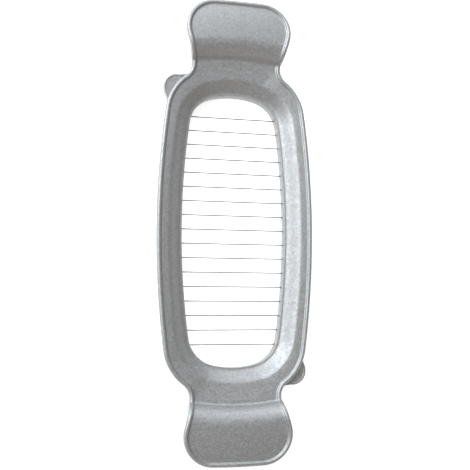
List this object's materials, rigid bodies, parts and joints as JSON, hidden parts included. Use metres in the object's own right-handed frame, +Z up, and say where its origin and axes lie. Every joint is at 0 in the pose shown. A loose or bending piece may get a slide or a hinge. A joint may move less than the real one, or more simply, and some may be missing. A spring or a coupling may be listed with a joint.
{
  "type": "egg slicer",
  "caption": "Hand-held slicer: a long rounded casting with raised end grips and parallel cutting wires across its opening.",
  "frame": {"origin": "centre of the underside, on the board that the slicer stands on", "axes": "+Y along the body, from grip to grip; +X across it, along the wires; +Z up, away from the board"},
  "size_m": [0.0662, 0.1914, 0.0158],
  "materials": {
    "frame_casting": "fine-grained silver coat, satin",
    "carrier_casting": "fine-grained silver coat, satin",
    "wire_steel": "drawn stainless wire",
    "ferrule_metal": "nickel-plated, crimped",
    "strip_steel": "rolled strip",
    "screw_steel": "machined",
    "stud_steel": "turned",
    "ring_rubber": "moulded, matt"
  },
  "bodies": {
    "carrier": {"wire_carrier": "carrier_casting", "wire_01": "wire_steel", "wire_02": "wire_steel", "wire_03": "wire_steel", "wire_04": "wire_steel", "wire_05": "wire_steel", "wire_06": "wire_steel", "wire_07": "wire_steel", "wire_08": "wire_steel", "wire_09": "wire_steel", "wire_10": "wire_steel", "wire_11": "wire_steel", "wire_12": "wire_steel", "wire_13": "wire_steel", "wire_14": "wire_steel", "wire_15": "wire_steel", "wire_16": "wire_steel", "wire_17": "wire_steel", "wire_ferrules_left": "ferrule_metal", "clamp_strip_left": "strip_steel", "strip_screws_left": "screw_steel", "wire_ferrules_right": "ferrule_metal", "clamp_strip_right": "strip_steel", "strip_screws_right": "screw_steel", "locating_stud_1": "stud_steel", "grip_ring_1": "ring_rubber", "locating_stud_2": "stud_steel", "grip_ring_2": "ring_rubber", "locating_stud_3": "stud_steel", "grip_ring_3": "ring_rubber", "locating_stud_4": "stud_steel", "grip_ring_4": "ring_rubber"},
    "frame": {"handle_frame": "frame_casting"}
  },
  "joints": [
    {"name": "handle_lift", "type": "slide", "parent": "carrier", "child": "frame", "axis": [0, 0, 1], "range_m": [0, 0.03]}
  ]
}
